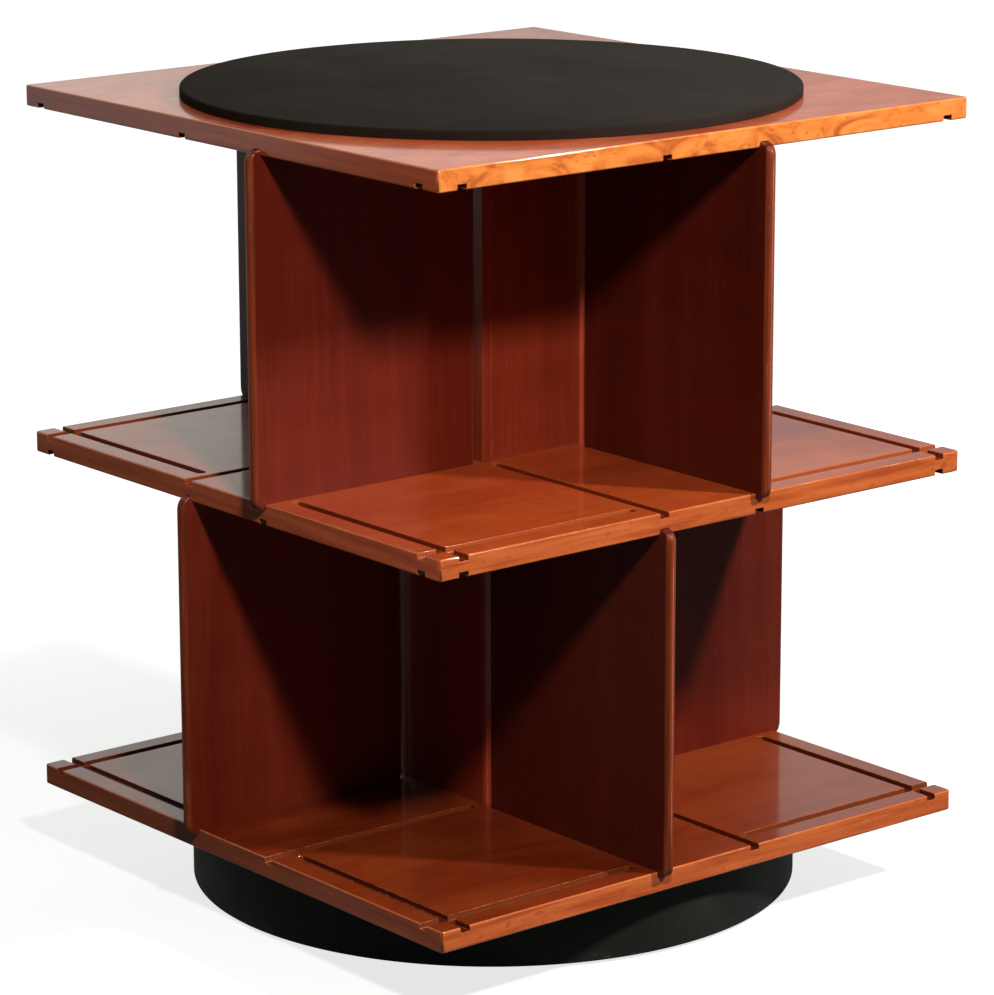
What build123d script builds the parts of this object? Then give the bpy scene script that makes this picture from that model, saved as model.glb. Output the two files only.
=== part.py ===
from build123d import *
from math import cos, radians, sin, sqrt, tan
import os

# A revolving bookcase. Three grooved shelves are clamped to two square columns by a tie rod, four
# loose dividers stand in each tier like a pinwheel, and a flat ball bearing carries it all on a drum.
# Origin: centre of the footprint on the floor. +Z up, -Y the front, -X the left side. Millimetres.

# Shelves and tiers
shelf_side = 600
shelf_thickness = 19
shelf_corner_radius = 3
shelf_arris = 1
tier_clear_height = 303

# Dividers and the grooves that they slide in
divider_thickness = 9.8
divider_corner_radius = 12
divider_overhang = 12
divider_side_clearance = 0.1
divider_head_clearance = 0.4
divider_end_clearance = 0.3
groove_depth = 5
groove_stop_gap = 7
edge_groove_inset = 25

# Centre columns
column_side = 120
column_board_thickness = 10
column_arris = 1
dowel_diameter = 6
dowel_in_board = 12
dowel_in_shelf = 7
dowel_clearance = 0.1
dowel_end_clearance = 0.5

# Tie rod, nuts and washers
rod_diameter = 10
rod_hole_clearance = 0.4
rod_past_nut = 0.5
rod_below_face = 0.5
nut_across_flats = 17
nut_height = 8
nut_bore_clearance = 0.1
washer_diameter = 21
washer_thickness = 2
nut_recess_clearance = 2

# Top disc
disc_edge_margin = 21
disc_thickness = 8.5
disc_edge_radius = 2

# Plinth drum
plinth_edge_margin = 20
plinth_hoop_thickness = 12
plinth_hoop_chamfer = 1
plinth_board_thickness = 18
plinth_board_hole_diameter = 60
plinth_block_length = 70
plinth_block_width = 40
plinth_block_count = 6
glue_line = 0.1
glide_diameter = 26
glide_thickness = 3
base_height = 68
swivel_gap = 2

# Swivel bearing
ball_diameter = 8
ball_count = 8
ball_clearance = 0.15
track_radius = 130
track_depth = 2
ring_flange_width = 22
ring_thickness = 3
skirt_thickness = 2
skirt_clearance = 0.5
skirt_lift = 1
cage_rim = 5
cage_thickness = 2
cage_pocket_clearance = 0.3

# Countersunk bearing screws
screw_shank_diameter = 4
screw_head_diameter = 8
screw_length = 14
screw_head_angle = 90
screw_clearance = 0.1
screw_tip_clearance = 0.5
screw_count = 3
upper_screw_turn = 60
service_hole_diameter = 14

# One overrun lets every cut pass right through its face
overrun = 10

# Heights, counted up from the floor
bearing_gap = 2 * (ball_diameter / 2 + ball_clearance - track_depth)
bearing_height = 2 * ring_thickness + bearing_gap
plinth_board_top = base_height - bearing_height
plinth_board_bottom = plinth_board_top - plinth_board_thickness
hoop_top = base_height - swivel_gap
ball_centre_height = base_height - bearing_height / 2
bottom_shelf_base = base_height
lower_tier_floor = bottom_shelf_base + shelf_thickness
middle_shelf_base = lower_tier_floor + tier_clear_height
upper_tier_floor = middle_shelf_base + shelf_thickness
top_shelf_base = upper_tier_floor + tier_clear_height
top_shelf_face = top_shelf_base + shelf_thickness

# Sizes that follow from the fits
half_side = shelf_side / 2
disc_radius = half_side - disc_edge_margin
plinth_radius = half_side - plinth_edge_margin
groove_width = divider_thickness + 2 * divider_side_clearance
groove_run = half_side - column_side / 2 - groove_stop_gap
divider_width = groove_run - divider_end_clearance + divider_overhang
groove_cut_length = groove_run + overrun
groove_cut_radius = half_side + overrun - groove_cut_length / 2
edge_groove_offset = half_side - edge_groove_inset
inner_groove_offset = (column_side - groove_width) / 2
groove_lines = [-edge_groove_offset, -inner_groove_offset, inner_groove_offset, edge_groove_offset]
divider_height = tier_clear_height + 2 * groove_depth - divider_head_clearance
column_board_length = column_side - column_board_thickness
board_centre_offset = (column_side - column_board_thickness) / 2
nut_corner_diameter = nut_across_flats / cos(radians(30))
nut_recess_radius = max(washer_diameter, nut_corner_diameter) / 2 + nut_recess_clearance
nut_recess_depth = washer_thickness + nut_height + rod_past_nut + rod_below_face
hoop_inner_radius = plinth_radius - plinth_hoop_thickness
block_centre_radius = hoop_inner_radius - plinth_block_width / 2
track_width = 2 * (sqrt(track_depth * (ball_diameter - track_depth)) + ball_clearance)
ring_half_width = track_width / 2 + ring_flange_width
ring_inner_radius = track_radius - ring_half_width
ring_outer_radius = track_radius + ring_half_width
cage_width = ball_diameter + 2 * (cage_pocket_clearance + cage_rim)
lower_screw_radius = ring_inner_radius + ring_flange_width / 2
upper_screw_radius = ring_outer_radius - ring_flange_width / 2
screw_head_height = (screw_head_diameter - screw_shank_diameter) / 2 / tan(radians(screw_head_angle / 2))

# Turn of each side of the bookcase about the upright axis, the sides whose column boards have dowels,
# and the hand of each tier's pinwheel
side_angles = {"front": 0, "right": 90, "back": 180, "left": 270}
dowelled_sides = ["front", "back"]
tiers = {"upper": (upper_tier_floor, 1), "lower": (lower_tier_floor, -1)}

os.makedirs("parts", exist_ok=True)


def save(piece, name):
    """Label a finished piece and write it under its own name."""
    piece.label = name
    export_step(piece, f"parts/{name}.step")
    print(name, len(piece.solids()), round(piece.volume))


def outward(angle):
    """Level direction that points out of a side of the bookcase."""
    return Vector(sin(radians(angle)), -cos(radians(angle)), 0)


def across(angle):
    """Level direction that runs along a side, to the right as one faces it."""
    return Vector(cos(radians(angle)), sin(radians(angle)), 0)


def board_foot(angle):
    """Middle of one column board in plan, where its dowels go too."""
    return across(angle) * (column_board_thickness / 2) + outward(angle) * board_centre_offset


def make_shelf(name, base, grooved_top, grooved_underside, recess_top, recess_underside):
    """A square board with rounded arrises, stopped grooves, dowel holes and the rod hole."""
    face = base + shelf_thickness
    top_plane = Plane.XY.offset(face)
    under_plane = Plane(origin=(0, 0, base), x_dir=(1, 0, 0), z_dir=(0, 0, -1))
    worked = [top_plane] * grooved_top + [under_plane] * grooved_underside
    with BuildPart() as shelf:
        with BuildSketch(Plane.XY.offset(base)):
            RectangleRounded(shelf_side, shelf_side, shelf_corner_radius)
        extrude(amount=shelf_thickness)
        flats = shelf.faces().filter_by(Axis.Z)
        chamfer(flats.edges(), shelf_arris)
        for plane in worked:
            # Every groove runs in from an edge and stops short of the column with a round end.
            with BuildSketch(plane):
                with PolarLocations(groove_cut_radius, 4):
                    with Locations(*[(0, line) for line in groove_lines]):
                        SlotOverall(groove_cut_length, groove_width)
            extrude(amount=-groove_depth, mode=Mode.SUBTRACT)
            with BuildSketch(plane):
                with Locations(*[plane.to_local_coords(board_foot(side_angles[s])) for s in dowelled_sides]):
                    Circle(dowel_diameter / 2 + dowel_clearance)
            extrude(amount=-(dowel_in_shelf + dowel_end_clearance), mode=Mode.SUBTRACT)
        with Locations((0, 0, face)):
            Hole(rod_diameter / 2 + rod_hole_clearance, depth=shelf_thickness)
        for plane in [top_plane] * recess_top + [under_plane] * recess_underside:
            with BuildSketch(plane):
                Circle(nut_recess_radius)
            extrude(amount=-nut_recess_depth, mode=Mode.SUBTRACT)
        if recess_underside:
            # Pilot holes for the screws of the bearing's upper ring.
            with BuildSketch(under_plane):
                with PolarLocations(upper_screw_radius, screw_count, start_angle=upper_screw_turn):
                    Circle(screw_shank_diameter / 2 + screw_clearance)
            extrude(amount=-(screw_length - ring_thickness + screw_tip_clearance), mode=Mode.SUBTRACT)
    save(shelf.part, name)


make_shelf("top_shelf", top_shelf_base, False, True, True, False)
make_shelf("middle_shelf", middle_shelf_base, True, True, False, False)
make_shelf("bottom_shelf", bottom_shelf_base, True, False, False, True)


def make_divider(name, floor, hand, angle):
    """An upright board with half-round ends and rounded corners, standing in a groove above and below."""
    reach = half_side + divider_overhang - divider_width / 2
    foot = across(angle) * (hand * inner_groove_offset) + outward(angle) * reach
    foot += Vector(0, 0, floor - groove_depth)
    middle = foot + Vector(0, 0, divider_height / 2)
    with BuildPart() as divider:
        with BuildSketch(Plane(origin=foot, x_dir=outward(angle), z_dir=(0, 0, 1))):
            SlotOverall(divider_width, divider_thickness)
        extrude(amount=divider_height)
        with BuildSketch(Plane(origin=middle, x_dir=outward(angle), z_dir=-across(angle))):
            RectangleRounded(divider_width, divider_height, divider_corner_radius)
        extrude(amount=divider_thickness, both=True, mode=Mode.INTERSECT)
    save(divider.part, name)


def make_column_board(name, floor, angle, dowelled):
    """One side of a square column: its right end covers the next board, its left end butts the last."""
    foot = board_foot(angle)
    dowel_hole_depth = dowel_in_board + dowel_end_clearance
    with BuildPart() as board:
        with BuildSketch(Plane(origin=foot + Vector(0, 0, floor), x_dir=across(angle), z_dir=(0, 0, 1))):
            Rectangle(column_board_length, column_board_thickness)
        extrude(amount=tier_clear_height)
        uprights = board.edges().filter_by(Axis.Z)
        corner = across(angle) * half_side + outward(angle) * half_side
        chamfer(uprights.sort_by_distance(corner)[0], column_arris)
        for end, inward in ((floor, 1), (floor + tier_clear_height, -1)) if dowelled else ():
            with BuildSketch(Plane(origin=foot + Vector(0, 0, end), x_dir=across(angle), z_dir=(0, 0, 1))):
                Circle(dowel_diameter / 2 + dowel_clearance)
            extrude(amount=inward * dowel_hole_depth, mode=Mode.SUBTRACT)
    save(board.part, name)


def make_dowels(name, floor):
    """Four dowels, one at each end of the front and back boards of a column."""
    places = [board_foot(side_angles[side]) for side in dowelled_sides]
    with BuildPart() as dowels:
        for end, start in ((floor, -dowel_in_shelf), (floor + tier_clear_height, -dowel_in_board)):
            with BuildSketch(Plane.XY.offset(end + start)):
                with Locations(*places):
                    Circle(dowel_diameter / 2)
            extrude(amount=dowel_in_board + dowel_in_shelf)
    save(dowels.part, name)


for tier, (tier_floor, tier_hand) in tiers.items():
    for side, side_angle in side_angles.items():
        make_divider(f"{tier}_divider_{side}", tier_floor, tier_hand, side_angle)
        make_column_board(f"{tier}_column_{side}", tier_floor, side_angle, side in dowelled_sides)
    make_dowels(f"{tier}_column_dowels", tier_floor)

# Tie rod: from the nut under the bottom shelf to the nut in the top shelf
rod_base = bottom_shelf_base + rod_below_face
rod_top = top_shelf_face - rod_below_face
with BuildPart() as tie_rod:
    with BuildSketch(Plane.XY.offset(rod_base)):
        Circle(rod_diameter / 2)
    extrude(amount=rod_top - rod_base)
save(tie_rod.part, "tie_rod")

# Each washer lies on the floor of its recess, and its nut bears on it
lower_seat = bottom_shelf_base + nut_recess_depth
upper_seat = top_shelf_face - nut_recess_depth
with BuildPart() as tie_washers:
    for height in (lower_seat - washer_thickness, upper_seat):
        with BuildSketch(Plane.XY.offset(height)):
            Circle(washer_diameter / 2)
            Circle(rod_diameter / 2 + rod_hole_clearance, mode=Mode.SUBTRACT)
        extrude(amount=washer_thickness)
save(tie_washers.part, "tie_washers")

with BuildPart() as tie_nuts:
    for height in (lower_seat - washer_thickness - nut_height, upper_seat + washer_thickness):
        with BuildSketch(Plane.XY.offset(height)):
            RegularPolygon(nut_across_flats / 2, 6, major_radius=False)
            Circle(rod_diameter / 2 + nut_bore_clearance, mode=Mode.SUBTRACT)
        extrude(amount=nut_height)
save(tie_nuts.part, "tie_nuts")

# Top disc: a thin round board with a softened upper edge
with BuildPart() as top_disc:
    with BuildSketch(Plane.XY.offset(top_shelf_face)):
        Circle(disc_radius)
    extrude(amount=disc_thickness)
    fillet(top_disc.faces().sort_by(Axis.Z)[-1].edges(), disc_edge_radius)
save(top_disc.part, "top_disc")

# Bearing rings: two flat rings with a round track each; a skirt on the upper one hides the balls
lower_ring_top = plinth_board_top + ring_thickness
upper_ring_base = bottom_shelf_base - ring_thickness
upper_face_down = Plane(origin=(0, 0, upper_ring_base), x_dir=(1, 0, 0), z_dir=(0, 0, -1))
ring_width = 2 * ring_half_width
with BuildPart() as bearing_lower_ring:
    with BuildSketch(Plane.XZ):
        with Locations((ring_inner_radius, plinth_board_top)):
            Rectangle(ring_width, ring_thickness, align=(Align.MIN, Align.MIN))
        with Locations((track_radius, ball_centre_height)):
            Rectangle(track_width, ball_diameter + 2 * ball_clearance, mode=Mode.SUBTRACT)
    revolve(axis=Axis.Z)
    with BuildSketch(Plane.XY.offset(plinth_board_top)):
        with PolarLocations(upper_screw_radius, 1):
            Circle(service_hole_diameter / 2)
    extrude(amount=ring_thickness, mode=Mode.SUBTRACT)
    with Locations(Plane.XY.offset(lower_ring_top)):
        with PolarLocations(lower_screw_radius, screw_count):
            CounterSinkHole(
                screw_shank_diameter / 2 + screw_clearance,
                screw_head_diameter / 2 + screw_clearance,
                depth=ring_thickness,
                counter_sink_angle=screw_head_angle,
            )
save(bearing_lower_ring.part, "bearing_lower_ring")

skirt_inner_radius = ring_outer_radius + skirt_clearance
skirt_height = bearing_height - skirt_lift
with BuildPart() as bearing_upper_ring:
    with BuildSketch(Plane.XZ):
        with Locations((ring_inner_radius, upper_ring_base)):
            Rectangle(ring_width + skirt_clearance, ring_thickness, align=(Align.MIN, Align.MIN))
        with Locations((skirt_inner_radius, bottom_shelf_base)):
            Rectangle(skirt_thickness, skirt_height, align=(Align.MIN, Align.MAX))
        with Locations((track_radius, ball_centre_height)):
            Rectangle(track_width, ball_diameter + 2 * ball_clearance, mode=Mode.SUBTRACT)
    revolve(axis=Axis.Z)
    with Locations(upper_face_down):
        with PolarLocations(upper_screw_radius, screw_count, start_angle=upper_screw_turn):
            CounterSinkHole(
                screw_shank_diameter / 2 + screw_clearance,
                screw_head_diameter / 2 + screw_clearance,
                depth=ring_thickness,
                counter_sink_angle=screw_head_angle,
            )
save(bearing_upper_ring.part, "bearing_upper_ring")

# Balls and the flat cage that spaces them
with BuildPart() as bearing_balls:
    with Locations((0, 0, ball_centre_height)):
        with PolarLocations(track_radius, ball_count):
            Sphere(ball_diameter / 2)
save(bearing_balls.part, "bearing_balls")

with BuildPart() as ball_cage:
    with BuildSketch(Plane.XY.offset(ball_centre_height - cage_thickness / 2)):
        Circle(track_radius + cage_width / 2)
        Circle(track_radius - cage_width / 2, mode=Mode.SUBTRACT)
        with PolarLocations(track_radius, ball_count):
            Circle(ball_diameter / 2 + cage_pocket_clearance, mode=Mode.SUBTRACT)
    extrude(amount=cage_thickness)
save(ball_cage.part, "ball_cage")


def make_screws(name, head_plane, radius, start):
    """Countersunk screws on a circle, their flat heads flush with the face of the ring they hold."""
    shank_radius = screw_shank_diameter / 2
    head_radius = screw_head_diameter / 2
    downward = (Align.CENTER, Align.CENTER, Align.MAX)
    with BuildPart() as screws:
        with Locations(head_plane):
            with PolarLocations(radius, screw_count, start_angle=start):
                Cylinder(shank_radius, screw_length, align=downward)
                Cone(shank_radius, head_radius, screw_head_height, align=downward)
    save(screws.part, name)


make_screws("bearing_lower_screws", Plane.XY.offset(lower_ring_top), lower_screw_radius, 0)
make_screws("bearing_upper_screws", upper_face_down, upper_screw_radius, upper_screw_turn)

# Plinth: a bent hoop with a round board let into it, glue blocks under the board and glides
with BuildPart() as plinth_hoop:
    with BuildSketch(Plane.XY.offset(glide_thickness)):
        Circle(plinth_radius)
        Circle(hoop_inner_radius, mode=Mode.SUBTRACT)
    extrude(amount=hoop_top - glide_thickness)
    rims = plinth_hoop.edges().filter_by(GeomType.CIRCLE).sort_by(SortBy.RADIUS)[-2:]
    chamfer(rims, plinth_hoop_chamfer)
save(plinth_hoop.part, "plinth_hoop")

with BuildPart() as plinth_board:
    with BuildSketch(Plane.XY.offset(plinth_board_bottom)):
        Circle(hoop_inner_radius - glue_line)
        Circle(plinth_board_hole_diameter / 2, mode=Mode.SUBTRACT)
        with PolarLocations(upper_screw_radius, 1):
            Circle(service_hole_diameter / 2, mode=Mode.SUBTRACT)
    extrude(amount=plinth_board_thickness)
    with BuildSketch(Plane.XY.offset(plinth_board_top)):
        with PolarLocations(lower_screw_radius, screw_count):
            Circle(screw_shank_diameter / 2 + screw_clearance)
    extrude(amount=-(screw_length - ring_thickness + screw_tip_clearance), mode=Mode.SUBTRACT)
save(plinth_board.part, "plinth_board")

with BuildPart() as plinth_blocks:
    with BuildSketch(Plane.XY.offset(glide_thickness)):
        with PolarLocations(block_centre_radius, plinth_block_count):
            Rectangle(plinth_block_width, plinth_block_length)
        Circle(hoop_inner_radius - glue_line, mode=Mode.INTERSECT)
    extrude(amount=plinth_board_bottom - glide_thickness)
save(plinth_blocks.part, "plinth_blocks")

with BuildPart() as plinth_glides:
    with BuildSketch(Plane.XY):
        with PolarLocations(block_centre_radius, plinth_block_count):
            Circle(glide_diameter / 2)
    extrude(amount=glide_thickness)
save(plinth_glides.part, "plinth_glides")
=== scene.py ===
import math

import bpy
import numpy as np
from mathutils import Matrix, Vector


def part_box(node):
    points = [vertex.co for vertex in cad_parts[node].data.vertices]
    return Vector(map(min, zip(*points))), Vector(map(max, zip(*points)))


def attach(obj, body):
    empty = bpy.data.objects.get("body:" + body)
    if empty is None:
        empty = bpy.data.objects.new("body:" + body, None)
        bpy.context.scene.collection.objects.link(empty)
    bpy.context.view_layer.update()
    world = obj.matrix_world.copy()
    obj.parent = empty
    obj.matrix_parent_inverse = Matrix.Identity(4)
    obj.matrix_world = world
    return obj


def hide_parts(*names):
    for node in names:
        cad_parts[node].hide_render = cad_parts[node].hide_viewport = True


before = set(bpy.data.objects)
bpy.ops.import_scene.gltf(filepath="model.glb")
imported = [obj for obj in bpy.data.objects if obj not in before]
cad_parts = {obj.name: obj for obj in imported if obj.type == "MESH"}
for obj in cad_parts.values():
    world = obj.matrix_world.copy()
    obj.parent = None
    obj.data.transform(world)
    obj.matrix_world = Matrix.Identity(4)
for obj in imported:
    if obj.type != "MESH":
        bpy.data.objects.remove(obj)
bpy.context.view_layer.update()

# The studio
# A pale floor that runs into a white background, a lamp on each side of the camera and a weak fill.
# The lamps stand where the shadows of the shelves and of the dividers' ends point to.
MILLIMETRE = 0.001
IMAGE_HEIGHT = 995
FOCAL_PIXELS = 4175.9
SENSOR = 36.0
CAMERA_PLACE = Vector((-2.3471, -2.8776, 1.2930))
CAMERA_REACH = 60.0
CAMERA_YAW = math.radians(50.732)
CAMERA_PITCH = math.radians(14.172)
CAMERA_ROLL = math.radians(-0.126)
# Each lamp has its place, its width and height, and its watts.
LAMPS = {
    "left_lamp": (Vector((-0.84, -1.43, 1.615)), (0.15, 0.15), 25.5),
    "right_lamp": (Vector((0.80, -1.36, 1.50)), (0.07, 0.16), 28.5),
}
LAMP_COLOUR = (1.0, 0.97, 0.93)
LAMP_AIM = Vector((0.0, 0.0, 0.39))
FRONT_FILL_COLOUR = (0.78, 1.40, 0.74, 1.0)
BACK_FILL_COLOUR = (0.97, 1.02, 0.94, 1.0)
FRONT_FILL = 0.02
BACK_FILL = 2.2
BACKDROP_COLOUR = (1.0, 0.94, 0.87, 1.0)
BACKDROP_SIDE = (0.633, 0.774, 0.0)
BACKDROP_RIGHT = (0.774, -0.633, 0.0)
BACKDROP_LEAST = 0.02
FLOOR_RADIUS = 9.0
FLOOR_DROP = 0.2 * MILLIMETRE
FLOOR_CORNERS = 96
FLOOR_SHADE = (0.10, 0.10, 0.10, 1.0)
FLOOR_SHADE_SEEN = (0.45, 0.45, 0.45, 1.0)
WHITE = (1.0, 1.0, 1.0, 1.0)
# Each fade is where it starts and ends, and then its strength at the start and at the end.
BACKDROP_EDGE = (0.20, 0.46)
BACKDROP_TOP = (0.85, 0.5)
BACKDROP_LEAN = (-0.12, 0.12, 0.72, 0.30)
BACK_FILL_EDGE = (0.55, 0.80)
BACK_FILL_TOP = (0.62, 0.40)
FLOOR_GLOW = (0.35, 1.5, 0.78, 1.0)
FAR_SHEEN = (0.60, 0.95, 0.02, 0.60)
NEAR_SHEEN = (0.50, 0.34, 0.0, 0.10)
HOLLOW_GLOW = (0.235, 0.225, 0.0, 0.35)


def add_node(tree, kind, inputs=None, **settings):
    """Add a node, its kind without the leading ShaderNode, and set or link its inputs."""
    made = tree.nodes.new(kind if kind.startswith("Node") else f"ShaderNode{kind}")
    for key, value in settings.items():
        setattr(made, key, value)
    for key, value in (inputs or {}).items():
        if isinstance(value, bpy.types.NodeSocket):
            tree.links.new(value, made.inputs[key])
        else:
            made.inputs[key].default_value = value
    return made


def maths(operation, first, second=0.0, third=0.0):
    """One Math node in the tree of its sockets, and the value that it puts out."""
    tree = next(value.id_data for value in (first, second, third) if isinstance(value, bpy.types.NodeSocket))
    return add_node(tree, "Math", {0: first, 1: second, 2: third}, operation=operation).outputs[0]


def product(first, *others):
    """All the values multiplied together, from left to right."""
    for other in others:
        first = maths("MULTIPLY", first, other)
    return first


def vector_maths(operation, first, second=(0.0, 0.0, 0.0)):
    """One Vector Math node, and the vector or the plain value that it puts out."""
    made = add_node(first.id_data, "VectorMath", {0: first, 1: second}, operation=operation)
    return made.outputs["Value" if operation in ("DOT_PRODUCT", "LENGTH") else "Vector"]


def axes_of(vector):
    """The three components of a vector."""
    return add_node(vector.id_data, "SeparateXYZ", {0: vector}).outputs


def mix(share, first, second):
    """First colour where share is 0, second where it is 1."""
    return add_node(share.id_data, "Mix", {0: share, 6: first, 7: second}, data_type="RGBA").outputs[2]


def new_material(name):
    """Empty material and its node tree."""
    material = bpy.data.materials.new(name)
    material.use_nodes = True
    material.node_tree.nodes.clear()
    return material, material.node_tree


def spread(value, low, high, to_low=0.0, to_high=1.0, smooth=True):
    """Value from low..high spread over to_low..to_high, held at both ends."""
    sockets = {"Value": value, "From Min": low, "From Max": high, "To Min": to_low, "To Max": to_high}
    kind = "SMOOTHSTEP" if smooth else "LINEAR"
    return add_node(value.id_data, "MapRange", sockets, interpolation_type=kind).outputs[0]


def add_lamp(name, place, size, watts):
    """An oblong soft lamp that faces the middle of the object."""
    data = bpy.data.lights.new(name, "AREA")
    data.shape = "RECTANGLE"
    data.size, data.size_y = size
    data.energy = watts
    data.color = LAMP_COLOUR
    lamp = bpy.data.objects.new(name, data)
    lamp.location = place
    lamp.rotation_mode = "QUATERNION"
    lamp.rotation_quaternion = (LAMP_AIM - place).to_track_quat("-Z", "Y")
    bpy.context.scene.collection.objects.link(lamp)


camera_data = bpy.data.cameras.new("camera")
camera_data.sensor_width = SENSOR
camera_data.lens = FOCAL_PIXELS / IMAGE_HEIGHT * SENSOR
camera_data.clip_end = CAMERA_REACH
camera = bpy.data.objects.new("camera", camera_data)
bpy.context.scene.collection.objects.link(camera)
camera_turn = Matrix.Rotation(CAMERA_YAW - math.pi / 2, 4, "Z")
camera_tilt = Matrix.Rotation(math.pi / 2 - CAMERA_PITCH, 4, "X") @ Matrix.Rotation(CAMERA_ROLL, 4, "Z")
camera.matrix_world = Matrix.Translation(CAMERA_PLACE) @ camera_turn @ camera_tilt
bpy.context.scene.camera = camera
bpy.context.scene.view_settings.view_transform = "Standard"

for lamp_name, lamp_values in LAMPS.items():
    add_lamp(lamp_name, *lamp_values)


def make_background():
    """World: white to the camera, a pale backdrop behind the object to glossy rays, and two fills.

    The fill in front is weak; the one behind lies low, and lights the sides that the lamps don't reach.
    """
    world = bpy.data.worlds.new("studio")
    bpy.context.scene.world = world
    world.use_nodes = True
    tree = world.node_tree
    tree.nodes.clear()
    ray = add_node(tree, "LightPath").outputs
    direction = add_node(tree, "TexCoord").outputs["Generated"]
    side = vector_maths("DOT_PRODUCT", direction, BACKDROP_SIDE)
    across = vector_maths("DOT_PRODUCT", direction, BACKDROP_RIGHT)
    height = axes_of(direction)[2]
    beside, below_top = spread(side, *BACKDROP_EDGE), spread(height, *BACKDROP_TOP)
    lit = product(beside, below_top, spread(across, *BACKDROP_LEAN, smooth=False))
    backdrop = maths("ADD", lit, BACKDROP_LEAST)
    behind, low_band = spread(side, *BACK_FILL_EDGE), spread(height, *BACK_FILL_TOP)
    from_behind = product(behind, low_band, maths("GREATER_THAN", height, 0.0))
    fill = maths("MULTIPLY_ADD", from_behind, BACK_FILL, FRONT_FILL)
    mirrored = maths("MAXIMUM", ray["Is Glossy Ray"], ray["Is Transmission Ray"])
    soft = add_node(tree, "Mix", {0: mirrored, 2: fill, 3: backdrop}).outputs[0]
    strength = maths("MAXIMUM", soft, ray["Is Camera Ray"])
    bright = maths("MAXIMUM", mirrored, ray["Is Camera Ray"])
    fill_tint = mix(from_behind, FRONT_FILL_COLOUR, BACK_FILL_COLOUR)
    bright_tint = mix(mirrored, WHITE, BACKDROP_COLOUR)
    tint = mix(bright, fill_tint, bright_tint)
    shine = add_node(tree, "Background", {"Color": tint, "Strength": strength})
    add_node(tree, "OutputWorld", {"Surface": shine.outputs[0]})


def make_floor():
    """Round pale floor: lit as any floor, with a glow to the camera alone that rises to white outwards.

    Under the drum it glows for all rays, so that the hollow can be seen from below.
    """
    turns = np.linspace(0.0, 2.0 * np.pi, FLOOR_CORNERS, endpoint=False)
    points = np.column_stack([np.cos(turns) * FLOOR_RADIUS, np.sin(turns) * FLOOR_RADIUS,
                              np.full(FLOOR_CORNERS, -FLOOR_DROP)])
    mesh = bpy.data.meshes.new("floor")
    mesh.from_pydata(points.tolist(), [], [list(range(FLOOR_CORNERS))])
    floor = bpy.data.objects.new("floor", mesh)
    bpy.context.scene.collection.objects.link(floor)
    material, tree = new_material("pale_floor")
    ray = add_node(tree, "LightPath").outputs
    place = add_node(tree, "TexCoord").outputs["Object"]
    reach = vector_maths("LENGTH", place)
    behind = vector_maths("DOT_PRODUCT", place, BACKDROP_SIDE)
    seen = maths("MAXIMUM", ray["Is Camera Ray"], ray["Is Transmission Ray"])
    sheen = maths("MAXIMUM", spread(behind, *FAR_SHEEN), spread(reach, *NEAR_SHEEN))
    mirrored = product(sheen, ray["Is Glossy Ray"])
    in_hollow = product(spread(reach, *HOLLOW_GLOW), maths("SUBTRACT", 1.0, seen))
    glow = product(spread(reach, *FLOOR_GLOW), seen)
    strength = maths("MAXIMUM", glow, maths("MAXIMUM", mirrored, in_hollow))
    tone = mix(seen, FLOOR_SHADE, FLOOR_SHADE_SEEN)
    paint = add_node(tree, "BsdfDiffuse", {"Color": tone})
    light = add_node(tree, "Emission", {"Color": WHITE, "Strength": strength})
    lit = add_node(tree, "AddShader", {0: paint.outputs[0], 1: light.outputs[0]})
    clear = add_node(tree, "BsdfTransparent")
    from_below = add_node(tree, "NewGeometry").outputs["Backfacing"]
    both = add_node(tree, "MixShader", {0: from_below, 1: lit.outputs[0], 2: clear.outputs[0]})
    add_node(tree, "OutputMaterial", {"Surface": both.outputs[0]})
    mesh.materials.append(material)


make_background()
make_floor()

# Plinth hoop
# A hoop bent from thin plywood, closed round the plinth board and sprayed satin black. It hides the
# bearing, and its lower rim takes the knocks of feet and brooms.
HOOP_WALL = 12.0 * MILLIMETRE
HOOP_OUTER_EASE = 1.5 * MILLIMETRE
HOOP_INNER_EASE = 0.6 * MILLIMETRE
HOOP_RUB = (14.0 * MILLIMETRE, 4.0 * MILLIMETRE)
HOOP_RIPPLE = 0.35 * MILLIMETRE
ROUND_STEPS = 256
ARC_STEPS = 6
ARC_SUPPORT = 0.25 * MILLIMETRE
SATIN_DARK, SATIN_LIGHT, SATIN_WORN, SATIN_DUST = (32, 32, 30), (44, 44, 41), (60, 57, 54), (96, 92, 88)


def weighted(*terms):
    """Sum of (value, weight) terms, each value times its weight."""
    total = 0.0
    for value, weight in terms:
        total = maths("MULTIPLY_ADD", value, weight, total)
    return total


def shade(red, green, blue):
    """Colour given as 0 to 255 on a screen, as the linear colour that a shader takes."""
    values = np.array([red, green, blue]) / 255.0
    linear = np.where(values <= 0.04045, values / 12.92, ((values + 0.055) / 1.055) ** 2.4)
    return (*linear.tolist(), 1.0)


def ramp(value, stops):
    """Colour ramp over a value: stops are (place, colour) from low to high."""
    made = add_node(value.id_data, "ValToRGB", {0: value})
    points = made.color_ramp.elements
    for extra in stops[2:]:
        points.new(extra[0])
    for point, (place, colour) in zip(points, sorted(stops, key=lambda stop: stop[0])):
        point.position = place
        point.color = colour
    return made.outputs["Color"]


def noise(place, stretch, detail=3.0, rough=0.5, distortion=0.0, name="Fac"):
    """Noise over a place: stretch is its features per metre, on each axis or one number for all."""
    scale = stretch if isinstance(stretch, tuple) else (stretch, stretch, stretch)
    sockets = {"Vector": vector_maths("MULTIPLY", place, scale), "Scale": 1.0, "Detail": detail,
               "Roughness": rough, "Distortion": distortion}
    return add_node(place.id_data, "TexNoise", sockets).outputs[name]


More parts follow.
